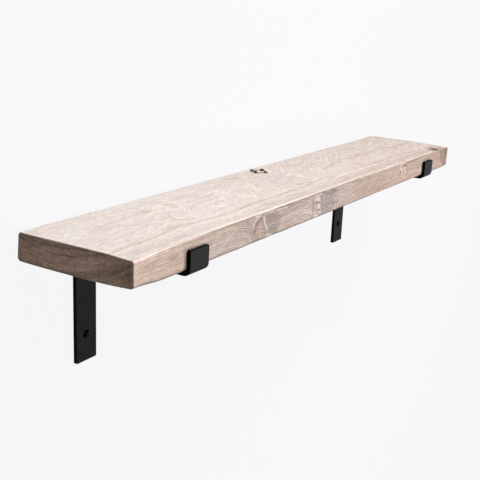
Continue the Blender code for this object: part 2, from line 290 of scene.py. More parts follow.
# Brackets
BAR_THICKNESS = 6.0 * MM
BEND_RADIUS = 4.5 * MM
BAR_CORNER = 1.8 * MM
BAR_EDGE = 0.6 * MM
BAR_TIP = np.array([0.0, 0.08, 0.25, 0.5, 0.9, 1.35, 1.8]) * MM  # stations where the bar's ends are rounded
BEND_GAP = 1.0 * MM  # from a bend to the next plain station
BEND_STATIONS = 17
EDGE_STEPS = 4
END_FADE = (0.3 * MM, 1.2 * MM)  # the span, from an end, in which its painted shade goes

# Screws
WALL_SCREW_DIAMETER = 5.0 * MM
BOARD_SCREW_DIAMETER = 4.5 * MM
THREAD_PITCH = 2.2 * MM
THREAD_DEPTH = 0.6 * MM
THREAD_START = (1.0 * MM, 3.0 * MM)  # the span, below the head, in which it deepens
THREAD_RIDGE = 0.3  # half of a ridge's foot, as a share of the pitch
THREAD_STEP = 0.36 * MM  # between the rings of its mesh
POINT_LENGTH = 7.0 * MM
HEAD_RINGS = 18
HEAD_RIM = 0.6 * MM
HEAD_EASE = 0.15 * MM  # rounding of the head's lower edge
WALL_HEAD_EXTRA = 0.9 * MM  # how much wider the heads look in the photo than the CAD's
WALL_HEAD_HEIGHT = 3.6 * MM
BOARD_HEAD_HEIGHT = 3.0 * MM
RECESS_REACH = 2.4 * MM
RECESS_HALF_SLOT = 0.45 * MM
RECESS_DEPTH = 1.1 * MM
TURN_POINTS = 48


def ramp(low, high, value):
    """0 below low and 1 above high, with a smooth rise between them."""
    share = np.clip((value - low) / (high - low), 0, 1)
    return share * share * (3 - 2 * share)


def bell(value, centre, width):
    return np.exp(-(((value - centre) / width) ** 2))


def between(first, second, share):
    return first + (second - first) * share


def window(value, rise=None, fall=None):
    """1 after the span in which it rises and before the span in which it falls."""
    share = 1.0
    if rise:
        share = share * ramp(*rise, value)
    if fall:
        share = share * (1 - ramp(*fall, value))
    return share


def clouds(points, cell, seed):
    """Smooth noise from -1 to 1 at each point; cell is its grain size along each axis."""
    scaled = points / np.array(cell) + seed * 17.31
    return np.array([noise.noise(point) for point in scaled])


def drift(points, cell, seed):
    """Smooth noise that changes along the plank only."""
    return clouds(points * [1, 0, 0], (cell, 1, 1), seed)


def near_line(across, down, line, width):
    """1 on a line through points, falling to 0 at this distance from it."""
    places = np.column_stack([across, down])
    nearest = np.full(len(places), np.inf)
    for start, end in zip(np.array(line[:-1]), np.array(line[1:])):
        run = end - start
        share = np.clip((places - start) @ run / (run @ run), 0, 1)
        gap = np.linalg.norm(places - start - share[:, None] * run, axis=1)
        nearest = np.minimum(nearest, gap)
    return 1 - ramp(0.35 * width, width, nearest)


def inside(across, down, corners, soft):
    """1 well inside a convex outline and 0 well outside it."""
    places = np.column_stack([across, down])
    outline = np.array(corners)
    depth = np.full(len(places), np.inf)
    for start, end in zip(outline, np.roll(outline, -1, axis=0)):
        normal = np.array([end[1] - start[1], start[0] - end[0]])
        inward = np.sign(np.dot(outline.mean(axis=0) - start, normal))
        depth = np.minimum(depth, (places - start) @ normal * inward / np.linalg.norm(normal))
    return ramp(-soft, soft, depth)


def stations(*stretches):
    """Places along one side of the plank, from stretches of (end, step)."""
    places = [0.0]
    for end, step in stretches:
        count = max(1, round((end - places[-1]) / step))
        places.extend(np.linspace(places[-1], end, count + 1)[1:])
    return np.array(places)


def box_skin(alongs, deeps, highs):
    """The skin of a box's lattice: its points, and quads that face out once deep runs towards -Y."""
    shape = (len(alongs), len(deeps), len(highs))
    skin = np.zeros(shape, bool)
    for axis in range(3):
        sides = np.moveaxis(skin, axis, 0)
        sides[0] = True
        sides[-1] = True
    number = np.full(shape, -1)
    number[skin] = np.arange(skin.sum())
    first, second, third = np.nonzero(skin)
    points = np.column_stack([alongs[first], deeps[second], highs[third]])
    quads = []
    for axis in range(3):
        for end in (0, -1):
            sheet = np.take(number, end, axis)
            corners = [sheet[:-1, :-1], sheet[1:, :-1], sheet[1:, 1:], sheet[:-1, 1:]]
            if (end == 0) == (axis == 1):
                corners.reverse()
            quads.append(np.stack([corner.ravel() for corner in corners], axis=1))
    return points, np.concatenate(quads)


def new_object(name, data):
    made = bpy.data.objects.new(name, data)
    bpy.context.scene.collection.objects.link(made)
    return made


def new_mesh(name, points, faces, marks=()):
    """A mesh, with the values that each mark has at its points."""
    mesh = bpy.data.meshes.new(name)
    mesh.from_pydata(points, [], faces)
    for mark, values in dict(marks).items():
        layer = mesh.attributes.new(mark, "FLOAT", "POINT")
        layer.data.foreach_set("value", np.array(values, np.float32))
    return mesh


def add_piece(name, mesh, material, slot, *nodes):
    """A shown piece that stands for CAD nodes and rides on the shelf's one body."""
    made = new_object(name, mesh)
    mesh.materials.append(material)
    mesh.shade_smooth()
    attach(made, "root")
    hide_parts(*nodes)
    return made


def arris_radii(points):
    """The rounding radius along each axis at each point of the plank's box."""
    along, deep, high = points.T
    front_top = between(FRONT_TOP_ROUND, FRONT_TOP_ROUND_LEFT, window(along, fall=(40, 100)))
    front_bottom = between(FRONT_BOTTOM_ROUND, FRONT_BOTTOM_ROUND_RIGHT, ramp(880, 960, along))
    back = between(BACK_ROUND, BACK_ROUND_RIGHT, ramp(985, 1030, along))
    right = between(END_ROUND, RIGHT_END_ROUND, ramp(60, 170, deep))
    wander = 1 + 0.25 * drift(points, 30, 3)
    front = np.where(high > THICKNESS / 2, front_top, front_bottom)
    section = np.where(deep > DEPTH / 2, front, back) * wander
    end = np.where(along < LENGTH / 2, END_ROUND, right) * wander
    near_side = window(np.minimum(deep, DEPTH - deep), fall=(5, 10))
    return np.column_stack([end, section, between(end, section, near_side)])


def round_over(points, radii):
    """The box's points on its rounded skin, the way out at each, and how near each is to an arris."""
    inner = np.clip(points, radii, BOARD_SIZE - radii)
    away = (points - inner) / radii
    reach = np.linalg.norm(away, axis=1, keepdims=True)
    outward = away / reach / radii
    outward /= np.linalg.norm(outward, axis=1, keepdims=True)
    nearness = np.clip((reach[:, 0] - 1) / (sqrt(2) - 1), 0, 1)
    return inner + away / reach * radii, outward, nearness


def ring_dip(along, deep):
    """How far the front's rings drop where knots draw them down."""
    # from the left into the scalloped knot
    dip = 0.0054 * np.clip(along - 380, 0, 74) ** 2 * window(along, fall=(454, 480))
    # from both sides into the knot that fans out
    dip += 0.0009 * np.clip(380 - along, 0, 84) ** 2 * ramp(262, 296, along)
    dip += 15 * np.exp((np.minimum(along, 256) - 252) / 10) * window(along, fall=(256, 262))
    # right of the grey knot, less and less
    dip += 7 * np.exp((548 - np.maximum(along, 548)) / 45) * ramp(500, 548, along)
    # from both sides into the second scalloped knot
    dip += 6 * np.exp(-np.abs(along - 788) / 10)
    return dip * ramp(150, 181, deep)


def growth(along, deep, high):
    """The wood's ring coordinate: distance from the pith, with the front's knots."""
    rise = PITH_HIGH + PITH_RISE * along / LENGTH
    sway = PITH_DEEP + 9 * np.sin(along / 170) + 4 * np.sin(along / 61 + 1)
    return np.hypot(deep - sway, high + ring_dip(along, deep) - rise)


def fibre_flow(along, deep, high):
    """Distance across the fibres, from the front's top arris, bent where knots push them aside."""
    top = ramp(20, 38, high)
    flow = DEPTH - deep + high - THICKNESS + ring_dip(along, deep)
    for (centre, middle), reach, breadth, push in ((STAR_KNOT, 60, 34, 0.8), (BARK_KNOT, 34, 26, 0.7)):
        flow += top * push * bell(along, centre, reach) * bell(deep, middle, breadth) * (deep - middle)
    flow += top * 9 * bell(along, 480, 70) * bell(deep, 128, 34)
    return flow + top * (3 * np.sin(along / 190) + 1.5 * np.sin(along / 47 + deep / 30))


def grey_knot(along, high):
    """A grey knot beside the front's scallops, sharp on its left and soft on its right."""
    left = 452.8 + 0.25 * (34.5 - high)
    right = np.minimum(482 + 2.35 * (high - 2), 512)
    return window(along - left, rise=(-1.2, 1.2)) * window(along - right, fall=(-10, 12))


def crack_share(points):
    """How open the split along the front's top arris is: about 1 at most."""
    along, deep, high = points.T
    from_corner = np.maximum((THICKNESS - high) / CRACK_DOWN, (DEPTH - deep) / CRACK_BACK)
    share = np.interp(along, *np.transpose(CRACK_SHARES)) * window(from_corner, fall=(0.8, 1.35))
    return share * (0.8 + 0.35 * drift(points, 17, 5))


def laid_tones(points, top, front, crack):
    """How strongly each tone is laid at each point of the plank."""
    along, deep, high = points.T
    tones = {tone: np.zeros(len(points)) for tone in TONES}

    def lay(tone, value):
        tones[tone] = np.maximum(tones[tone], value)

    faces = (
        (top, deep, TOP_STROKES, TOP_PATCHES),
        (front, high, FRONT_STROKES, FRONT_PATCHES),
    )
    for face, down, strokes, patches in faces:
        for tone, line, width, strength in strokes:
            lay(tone, strength * face * near_line(along, down, line, width))
        for tone, corners, soft, strength in patches:
            lay(tone, strength * face * inside(along, down, corners, soft))
    for centre, middle, half_along, half_high, strength in SCALLOPS:
        blob = np.hypot((along - centre) / half_along, (high - middle) / half_high)
        lay("pale", strength * front * window(blob, fall=(0.7, 1.2)))
    lay("grey", grey_knot(along, high) * front)
    lay("brown", np.clip(crack, 0, 1))
    # the edge of the front strip: a tan line and a pale one
    from_step = deep - STEP_DEEP
    share = 0.22 + 0.16 * window(along, fall=(290, 380)) + 0.10 * ramp(600, 720, along)
    share *= 1 + 0.5 * drift(points, 40, 6)
    lay("tan", share * top * bell(from_step, -1.0, 2.4))
    lay("pale", 1.3 * share * top * bell(from_step, 4.5, 3.0))
    return tones


def ring_strength(along, high, grey):
    """How clearly the front's rings show."""
    strength = 0.42 + 0.5 * window(along, (345, 395), (444, 452))
    strength += 0.12 * window(along, (205, 235), (252, 256))
    strength *= 1 - 0.85 * grey
    strength *= 1 - 0.8 * inside(along, high, FAN_KNOT, 2.0)
    return strength * (0.4 + 0.6 * ramp(80, 170, along))


def broad_tones(along, deep, high):
    """Broad differences in brightness on the ends, the front, the top and its front strip."""
    end = 0.18 * bell(deep, 112, 40) * bell(high, 10, 12) - 0.2 * ramp(165, 179, deep)
    end -= 0.32 * ramp(35, 37.5, high)
    end -= 0.25 * window(high, fall=(1, 5)) * window(deep, fall=(60, 110))
    front = 0.20 * window(along, fall=(40, 130)) + 0.10 * window(along, fall=(225, 260))
    front -= 0.08 * ramp(820, 1000, along) + 0.15 * ramp(1000, 1040, along)
    front -= 0.12 * window(along, (200, 225), (255, 262)) * ramp(8, 22, high)
    front -= 0.16 * window(along, (300, 380), (600, 700)) * ramp(31, 37, high)
    top = 0.06 * window(along, fall=(170, 400)) - 0.02 * bell(along, 420, 130) - 0.05 * bell(deep, 168, 7)
    strip = -0.05 - 0.06 * ramp(300, 900, along)
    return end, front, top, strip


def plank_marks(points, outward, arris, crack):
    """What the wood shows at each point of the plank, for its shader."""
    along, deep, high = points.T
    facing_end, facing_front, facing_up = outward.T
    upward = np.clip(facing_up, 0, 1)
    endward = np.abs(facing_end)
    top = ramp(*FACING, upward)
    front = ramp(*FACING, facing_front)
    strip = top * ramp(-1, 1, deep - STEP_DEEP)
    marks = laid_tones(points, top, front, crack)
    # pale wear along the front's top arris, with a painted highlight laid on it too
    worn = np.interp(along, *np.transpose(ARRIS_SHARES)) * ramp(0.3, 0.7, upward)
    tones = zip(broad_tones(along, deep, high), (endward, front, top, strip))
    marks.update({
        "ring": growth(along, deep, high) * MM,
        "flow": fibre_flow(along, deep, high) * MM,
        "upward": upward,
        "endward": endward,
        "arris": arris,
        "front_arris_wear_and_highlight": worn * window(DEPTH - deep, *ARRIS_BAND),
        "tone": sum(tone * share for tone, share in tones),
        "figure": np.where(front > 0.3, ring_strength(along, high, marks["grey"]), 0.6),
        "strip": strip,
        "right": ramp(300, 1040, along),
    })
    return marks


def halvings(place):
    """How often the lattice is halved here: once on the top and front, and twice round their knots."""
    if place.z > THICKNESS - SKIN_TOLERANCE:
        areas, down = TOP_FINE_AREAS, place.y
    elif place.y > DEPTH - SKIN_TOLERANCE:
        areas, down = FRONT_FINE_AREAS, place.z
    else:
        return 0
    return 1 + any(left < place.x < right and low < down < high for left, right, low, high in areas)


def plank_skin():
    """The plank's box as a lattice: finer on the top and front, and finer again round their knots."""
    rim = (RIM, RIM_STEP)
    alongs = stations(rim, (LENGTH - RIM, 4.8), (LENGTH, RIM_STEP))
    deeps = stations(rim, (142.5, 5.0), (149.5, 2.4), (DEPTH - RIM, 5.0), (DEPTH, RIM_STEP))
    highs = stations(rim, (THICKNESS - RIM, 2.6), (THICKNESS, RIM_STEP))
    points, quads = box_skin(alongs, deeps, highs)
    form = bmesh.new()
    corners = [form.verts.new(point) for point in points]
    for quad in quads:
        form.faces.new([corners[number] for number in quad])
    for level in (1, 2):
        chosen = [face for face in form.faces if halvings(face.calc_center_median()) >= level]
        edges = {edge for face in chosen for edge in face.edges}
        ordered = sorted(edges, key=lambda edge: edge.index)
        bmesh.ops.subdivide_edges(form, edges=ordered, cuts=1, use_grid_fill=True)
        form.verts.index_update()
        form.edges.index_update()
    places = np.array([vert.co for vert in form.verts])
    faces = [[vert.index for vert in face.verts] for face in form.faces]
    form.free()
    return places, faces


def skin_dips(points, outward, arris, crack, marks):
    """How far each point sinks below the rounded box."""
    along, deep, high = points.T
    forward = np.clip(outward[:, 1], 0, 1)
    dips = SKIN_DIP * (1 + clouds(points, (90, 30, 30), 1))
    # the front's top arris is sharper than the others, except near the left end
    front_top = ramp(176, 180, deep) * ramp(33, 37, high) * ramp(60, 120, along)
    dips += ARRIS_DIP * arris * (1 - 0.9 * front_top) * (1 + clouds(points, (14, 9, 9), 2))
    dips += CRACK_DEPTH * crack
    for mark, depth in MARK_DIPS.items():
        dips += depth * marks[mark]
    notch = bell(along, NOTCH_ALONG, 6) * bell(high, NOTCH_HIGH, 5) * ramp(172, 181, deep)
    dips += NOTCH_DIP * notch
    dips -= PALE_RISE * np.clip(marks["pale"] * forward, 0, 1)
    return np.maximum(dips, 0.02)


def worn_places(points, outward, dips):
    """Where each point of the plank lies once its skin and ends are worn."""
    along, deep, high = points.T
    moved = points - outward * dips[:, None]
    topward = high / THICKNESS
    left_end = window(along, fall=(0, LEFT_WEAR))
    right_end = ramp(RIGHT_WEAR_START, LENGTH, along)
    # the front strip lies a little lower than the rest of the top, and lower still at both ends
    fall = STEP_FALL * ramp(STEP_DEEP - 0.8, STEP_DEEP + 0.8, deep)
    end_fall = STEP_FALL_LEFT * left_end + STEP_FALL_RIGHT * right_end
    fall += end_fall * np.clip((deep - STEP_DEEP) / (DEPTH - STEP_DEEP), 0, 1)
    # the left end's underside is worn upwards
    middle = (deep - 92) / 90
    crown = left_end * (LEFT_CROWN + np.where(middle > 0, LEFT_CROWN_FRONT, LEFT_CROWN_BACK) * middle**2)
    moved[:, 2] += -fall * topward**2 + crown * (1 - topward) ** 2
    # the right end is longer at its back and shorter at its front, where its corner is worn all round
    front_wear = right_end**2 * ramp(60, DEPTH, deep)
    moved[:, 0] += RIGHT_BACK_EXTRA * right_end * window(deep, fall=(0, 95))
    moved[:, 0] -= RIGHT_FRONT_SHORT * front_wear
    moved[:, 1] -= RIGHT_FRONT_SETBACK * front_wear
    corner = ramp(90, 170, deep)
    top_wear = RIGHT_TOP_WEAR * ramp(1030, LENGTH, along) ** 2
    under_wear = RIGHT_UNDER_WEAR * ramp(1028, LENGTH, along) ** 2
    moved[:, 2] += corner * (under_wear * (1 - topward) ** 2 - top_wear * topward**2)
    # the front strip's edge wanders along the plank
    upward = np.clip(outward[:, 2], 0, 1)
    wander = np.interp(along, *np.transpose(STEP_LINE)) - STEP_DEEP
    moved[:, 1] += bell(deep, STEP_DEEP, 17) * upward * wander
    # the left end's back corner is worn
    near_corner = window(along, fall=(0, 45)) * window(deep, fall=(0, 60))
    moved[:, 1] += LEFT_CORNER * near_corner * topward
    return moved


def plank_mesh(name):
    """The worn plank, with what its wood shows as attributes."""
    box, faces = plank_skin()
    points, outward, arris = round_over(box, arris_radii(box))
    crack = crack_share(points)
    marks = plank_marks(points, outward, arris, crack)
    moved = worn_places(points, outward, skin_dips(points, outward, arris, crack, marks))
    world = np.array([BOARD_LOW.x, BOARD_HIGH.y, BOARD_LOW.z]) + moved * [MM, -MM, MM]
    return new_mesh(name, world.tolist(), faces, marks)


class Graph:
    """The node tree of a new material or world, with short ways to add and link nodes."""

    def __init__(self, name, kind="materials"):
        self.owner = getattr(bpy.data, kind).new(name)
        self.owner.use_nodes = True
        self.tree = self.owner.node_tree

    def add(self, kind, inputs=(), **settings):
        node = self.tree.nodes.new(kind)
        for key, value in settings.items():
            setattr(node, key, value)
        for key, value in dict(inputs).items():
            self.put(value, node.inputs[key])
        return node

    def put(self, value, socket):
        if isinstance(value, bpy.types.NodeSocket):
            self.tree.links.new(value, socket)
        elif socket.type == "RGBA":
            socket.default_value = (*value, 1.0)
        else:
            socket.default_value = value

    def set(self, name, value):
        self.put(value, self.tree.nodes["Principled BSDF"].inputs[name])

    def show(self, surface, output="Material Output"):
        self.put(surface, self.tree.nodes[output].inputs["Surface"])

    def seen(self):
        """1 where this is seen, directly or mirrored, and 0 where it only lights other surfaces."""
        path = self.add("ShaderNodeLightPath").outputs
        mirrored = self.math("MAXIMUM", path["Is Glossy Ray"], path["Is Transmission Ray"])
        return self.math("MAXIMUM", path["Is Camera Ray"], mirrored)

    def place(self):
        return self.add("ShaderNodeTexCoord").outputs["Object"]

    def mark(self, name):
        return self.add("ShaderNodeAttribute", attribute_name=name).outputs["Fac"]

    def math(self, operation, first, second=0.0, third=0.0):
        return self.add("ShaderNodeMath", {0: first, 1: second, 2: third}, operation=operation).outputs[0]

    def times(self, first, second):
        return self.math("MULTIPLY", first, second)

    def plus(self, first, second):
        return self.math("ADD", first, second)

    def less(self, value):
        return self.math("SUBTRACT", 1.0, value)

    def stretch(self, vector, factors):
        return self.add("ShaderNodeVectorMath", {0: vector, 1: factors}, operation="MULTIPLY").outputs[0]

    def join(self, x, y, z):
        return self.add("ShaderNodeCombineXYZ", {0: x, 1: y, 2: z}).outputs[0]

    def noise(self, vector, scale, detail=2.0, rough=0.5):
        inputs = {"Vector": vector, "Scale": scale, "Detail": detail, "Roughness": rough}
        return self.add("ShaderNodeTexNoise", inputs).outputs["Fac"]

    def span(self, value, low, high, to_low=0.0, to_high=1.0, curve="LINEAR"):
        inputs = {"Value": value, "From Min": low, "From Max": high, "To Min": to_low, "To Max": to_high}
        return self.add("ShaderNodeMapRange", inputs, interpolation_type=curve).outputs[0]

    def mix(self, share, first, second, blend="MIX"):
        inputs = {0: share, 6: first, 7: second}
        return self.add("ShaderNodeMix", inputs, data_type="RGBA", blend_type=blend).outputs[2]

    def blend(self, share, first, second):
        return self.add("ShaderNodeMixShader", {0: share, 1: first, 2: second}).outputs[0]

    def bump(self, height, distance, strength):
        inputs = {"Height": height, "Distance": distance, "Strength": strength}
        return self.add("ShaderNodeBump", inputs).outputs["Normal"]


# Specular levels: most are kept low, because shiny surfaces mirror the pale surroundings
WOOD_SPECULAR = 0.06
COAT_SPECULAR = 0.03
SCREW_SPECULAR = 0.05
NYLON_SPECULAR = 0.5

SAW_SLANT = 1.55  # how far the saw marks run along for each step across


def wood_material():
    """Worn, pale softwood: rings, fibres, saw marks, knots, a crack and darker end grain."""
    g = Graph("worn_softwood")
    place = g.place()
    axes = g.add("ShaderNodeSeparateXYZ", {0: place}).outputs
    end = g.span(g.mark("endward"), 0.55, 0.9)
    top = g.times(g.span(g.mark("upward"), 0.35, 0.85), g.less(end))
    side = g.times(g.less(top), g.less(end))

    def by_face(for_top, for_side, for_end):
        return g.plus(g.plus(g.times(top, for_top), g.times(side, for_side)), g.times(end, for_end))

    def spots(factors, detail=2.0, rough=0.5):
        return g.noise(g.stretch(place, factors), 1.0, detail, rough)

    # rings: each rises slowly to a narrow dark line, with its own strength
    wobble = spots((9, 50, 50), 4.0, 0.6)
    ring = g.math("MULTIPLY_ADD", wobble, 4.5 * MM, g.mark("ring"))
    turn = g.math("DIVIDE", ring, RING_STEP * MM)
    phase = g.math("FRACT", turn)
    rise = g.span(phase, 0.15, 0.7, curve="SMOOTHSTEP")
    late = g.times(rise, g.span(phase, 0.8, 1.0, 1.0, 0.0, "SMOOTHSTEP"))
    number = g.math("FLOOR", turn)
    own = g.add("ShaderNodeTexWhiteNoise", {"W": number}, noise_dimensions="1D").outputs["Value"]
    late = g.times(late, g.span(own, 0, 1, 0.35, 1.0))
    # fibres and streaks run along the plank, and along the rings on its ends
    flow = g.math("MULTIPLY_ADD", wobble, 3.0 * MM, g.mark("flow"))
    lines = g.plus(g.times(ring, end), g.times(flow, g.less(end)))
    across = g.times(g.plus(axes[1], axes[2]), end)
    grain_place = g.join(g.times(axes[0], 3.0), g.times(lines, 150.0), g.times(across, 12.0))
    grain = g.noise(grain_place, 1.0, 4.0, 0.65)
    fibre_place = g.join(g.times(axes[0], 26.0), g.times(lines, 420.0), g.times(across, 90.0))
    fibre = g.noise(fibre_place, 1.0, 3.0, 0.6)
    mottle = spots((70, 150, 150), 3.0, 0.65)
    cloud = spots((8, 20, 20))
    speck = spots((150, 420, 420), 1.0)
    # saw marks: slanting lines across the top, in patches
    saw_across = g.math("MULTIPLY_ADD", axes[1], -SAW_SLANT, axes[0])
    saw_along = g.math("MULTIPLY_ADD", axes[0], SAW_SLANT, axes[1])
    saw = g.noise(g.join(g.times(saw_across, 140.0), g.times(saw_along, 10.0), 0.0), 1.0, 3.0, 0.6)
    patch = g.span(spots((6, 14, 1), 1.0), 0.36, 0.6)
    patch = g.times(patch, g.span(g.mark("right"), 0.0, 0.6, 0.5, 1.2))
    saw_share = g.times(g.times(top, patch), g.less(g.mark("strip")))
    # the top's streaks are stronger towards the right and on the front strip
    rightward = g.span(axes[0], -0.30, 0.05, 0.65, 1.15)
    streaky = g.times(rightward, g.span(g.mark("strip"), 0, 1, 1.0, 1.8))
    # the grey knot is more speckled than the rest of the front
    speckled = g.span(g.mark("grey"), 0, 1, 0.18, 0.45)
    # brightness: patterns, where each is darkest and brightest, and how deep it is by face
    patterns = (
        (late, 1.0, 0.0, g.times(g.mark("figure"), by_face(0.16, 0.85, 0.85))),
        (grain, 0.65, 0.35, by_face(g.times(streaky, 0.10), 0.22, 0.50)),
        (fibre, 0.3, 0.7, by_face(g.times(streaky, 0.20), 0.28, 0.42)),
        (mottle, 0.3, 0.7, by_face(0.14, 0.20, 0.35)),
        (cloud, 0.25, 0.75, by_face(0.07, 0.12, 0.30)),
        (speck, 0.3, 0.7, by_face(0.18, speckled, 0.32)),
        (saw, 0.34, 0.66, g.times(saw_share, 0.24)),
    )
    shade = g.plus(1.0, g.mark("tone"))
    for pattern, darkest, brightest, depth in patterns:
        swing = g.span(pattern, darkest, brightest, -0.5, 0.5)
        shade = g.times(shade, g.plus(1.0, g.times(swing, depth)))
    # darker wood is warmer on the top, a little warmer on the sides and no warmer on the ends
    powers = ((0.85, 0.97, 1.0), (1.1, 1.05, 1.0), (1.27, 1.08, 1.0))
    channels = [g.math("POWER", shade, by_face(*by_channel)) for by_channel in powers]
    shade = g.add("ShaderNodeCombineColor", dict(enumerate(channels))).outputs[0]
    # base colours by face, which change along the plank; the sides are darker than the top, partly from the
    # wood's own colour and partly as painted shade
    hue = g.span(spots((14, 50, 50)), 0.35, 0.65)
    top_colour = g.mix(hue, (0.790, 0.677, 0.617), (0.755, 0.665, 0.618))
    top_colour = g.mix(g.mark("right"), top_colour, (0.700, 0.585, 0.525))
    side_colour = g.mix(hue, (0.670, 0.517, 0.446), (0.635, 0.515, 0.456))
    right_share = g.span(axes[0], 0.02, 0.10)
    side_colour = g.mix(right_share, side_colour, (0.955, 0.91, 0.885), "MULTIPLY")
    left_share = g.span(axes[0], -0.42, -0.34, 1.0, 0.0)
    side_colour = g.mix(left_share, side_colour, (1.02, 0.965, 0.935), "MULTIPLY")
    base = g.mix(end, g.mix(top, side_colour, top_colour), (0.685, 0.471, 0.366))
    colour = g.mix(1.0, base, shade, "MULTIPLY")
    # knots, strokes, stains, split, wear and painted highlight: how each is laid, its mark, share and
    # colour
    ragged = g.span(spots((70, 150, 150), 2.0, 0.6), 0.32, 0.58, 0.55, 1.0)
    pale = g.times(g.plus(g.times(top, ragged), g.less(top)), 0.95)
    broken = g.span(spots((60, 200, 200)), 0.28, 0.50, 0.35, 1.0)
    layers = (
        ("MULTIPLY", "grey", g.span(top, 0, 1, 1.0, 0.6), (0.75, 0.83, 0.87)),
        ("MULTIPLY", "shade", 1.0, (0.50, 0.47, 0.45)),
        ("MIX", "pink", 0.8, (0.840, 0.570, 0.440)),
        ("MULTIPLY", "stain", 1.0, (0.68, 0.66, 0.645)),
        ("MULTIPLY", "tan", 1.0, (0.50, 0.33, 0.18)),
        ("MIX", "pale", pale, (0.980, 0.885, 0.795)),
        ("MIX", "core", 1.0, (0.480, 0.430, 0.430)),
        ("MIX", "brown", 1.0, (0.290, 0.135, 0.070)),
        ("MIX", "dark", 1.0, (0.030, 0.016, 0.012)),
        # pale wear and a painted highlight along the front's top arris
        ("MIX", "front_arris_wear_and_highlight", broken, (0.980, 0.915, 0.855)),
        ("MIX", "arris", g.times(end, 0.35), (0.680, 0.520, 0.420)),
    )
    for blend, mark, share, laid in layers:
        colour = g.mix(g.times(g.mark(mark), share), colour, laid, blend)
    g.set("Base Color", colour)
    g.set("Roughness", g.span(fibre, 0.2, 0.8, 0.86, 0.68))
    g.set("Specular IOR Level", WOOD_SPECULAR)
    height = g.plus(g.times(fibre, 0.6), g.plus(g.times(late, 0.5), g.times(grain, 0.8)))
    height = g.plus(height, g.plus(g.times(g.times(saw, saw_share), 0.5), g.times(mottle, 0.5)))
    g.set("Normal", g.bump(height, 0.5 * MM, 0.6))
    return g.owner


def coat_material():
    """Matte black powder coat with a fine orange peel, and painted shade that darkens the bar's narrow
    sides and ends.
    """
    g = Graph("black_powder_coat")
    place = g.place()
    peel = g.noise(place, 1100.0, 2.0)
    dust = g.span(g.noise(place, 230.0, 3.0, 0.65), 0.3, 0.7)
    broad = g.mix(dust, (0.0230, 0.0212, 0.0238), (0.0470, 0.0434, 0.0478))
    # painted shade: the bar's narrow sides and ends are much darker than its broad faces
    g.set("Base Color", g.mix(g.mark("narrow"), broad, (0.0040, 0.0037, 0.0040)))
    g.set("Roughness", g.span(dust, 0.0, 1.0, 0.46, 0.56))
    g.set("Specular IOR Level", COAT_SPECULAR)
    g.set("Normal", g.bump(peel, 0.10 * MM, 0.5))
    return g.owner


def plain_material(name, grain, colours, roughness, specular):
    """A smooth surface, a little uneven in colour and gloss."""
    g = Graph(name)
    cloud = g.noise(g.place(), grain, 2.0)
    g.set("Base Color", g.mix(cloud, *colours))
    g.set("Roughness", g.span(cloud, 0.3, 0.7, *roughness))
    g.set("Specular IOR Level", specular)
    return g.owner


def tube_faces(rows, count, flip=False):
    """The quads between closed rows of points, wound the other way if flip is set."""
    faces = []
    for row in range(rows - 1):
        first, second = row * count, (row + 1) * count
        for step in range(count):
            after = (step + 1) % count
            quad = (first + step, first + after, second + after, second + step)
            faces.append(quad[:1] + quad[:0:-1] if flip else quad)
    return faces


def bar_path(low, high):
    """Stations along a bracket's middle line: (y, z, the way the line runs)."""
    half = BAR_THICKNESS / 2
    turn = BEND_RADIUS + half
    leg_y, arm_z, lip_y = high.y - half, -half, low.y + half
    bend = np.linspace(0, pi / 2, BEND_STATIONS)
    leg_rises = np.linspace(low.z + 8 * MM, arm_z - turn - BEND_GAP, 10)
    arm_reaches = np.linspace(leg_y - turn - BEND_GAP, lip_y + turn + BEND_GAP, 12)
    lip_rises = np.linspace(arm_z + turn + BEND_GAP, high.z - 6 * MM, 5)
    line = [(leg_y, rise, pi / 2) for rise in (*(low.z + BAR_TIP), *leg_rises)]
    for angle in bend:
        out, up = turn * cos(angle), turn * sin(angle)
        line.append((leg_y - turn + out, arm_z - turn + up, pi / 2 + angle))
    line += [(reach, arm_z, pi) for reach in arm_reaches]
    for angle in bend:
        out, down = turn * sin(angle), turn * cos(angle)
        line.append((lip_y + turn - out, arm_z + turn - down, pi - angle))
    line += [(lip_y, rise, pi / 2) for rise in (*lip_rises, *(high.z - BAR_TIP[::-1]))]
    return line


def bar_section(half_width, half_thickness, edge):
    """A rounded rectangle's points, with 1 on its narrow sides, which take painted shade, and 0 on its
    broad faces.
    """
    points = []
    for quarter, (side_x, side_y) in enumerate(((1, 1), (-1, 1), (-1, -1), (1, -1))):
        for step in range(EDGE_STEPS + 1):
            angle = quarter * pi / 2 + step * pi / 2 / EDGE_STEPS
            across = side_x * (half_width - edge) + edge * cos(angle)
            out = side_y * (half_thickness - edge) + edge * sin(angle)
            points.append((across, out, ramp(0.5, 0.95, abs(cos(angle)))))
    return points


def eased(distance, radius):
    """How far a rounded corner of this radius draws in at a distance from the end."""
    gap = max(0.0, radius - distance)
    return radius - sqrt(radius * radius - gap * gap)


def bracket_mesh(name, node):
    """A bent bar in the place of a CAD bracket, with its narrow sides and ends marked for painted shade."""
    low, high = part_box(node)
    middle = (low.x + high.x) / 2
    half_width = (high.x - low.x) / 2
    line = bar_path(low, high)
    verts, narrow_shades = [], []
    for y, z, way in line:
        to_end = inf
        if abs(cos(way)) < 0.01:
            to_end = z - low.z if z < 0 else high.z - z
        width = half_width - eased(to_end, BAR_CORNER)
        section = bar_section(width, BAR_THICKNESS / 2 - eased(to_end, BAR_EDGE), BAR_EDGE)
        for across, out, narrow in section:
            verts.append((middle + across, y + out * sin(way), z - out * cos(way)))
            # how much painted shade each point takes, on the narrow sides and near the ends
            narrow_shades.append(max(narrow, window(to_end, fall=END_FADE)))
    count = len(section)
    faces = tube_faces(len(line), count)
    faces.append(tuple(range(count))[::-1])
    faces.append(tuple(range(len(verts) - count, len(verts))))
    return new_mesh(name, verts, faces, {"narrow": narrow_shades})


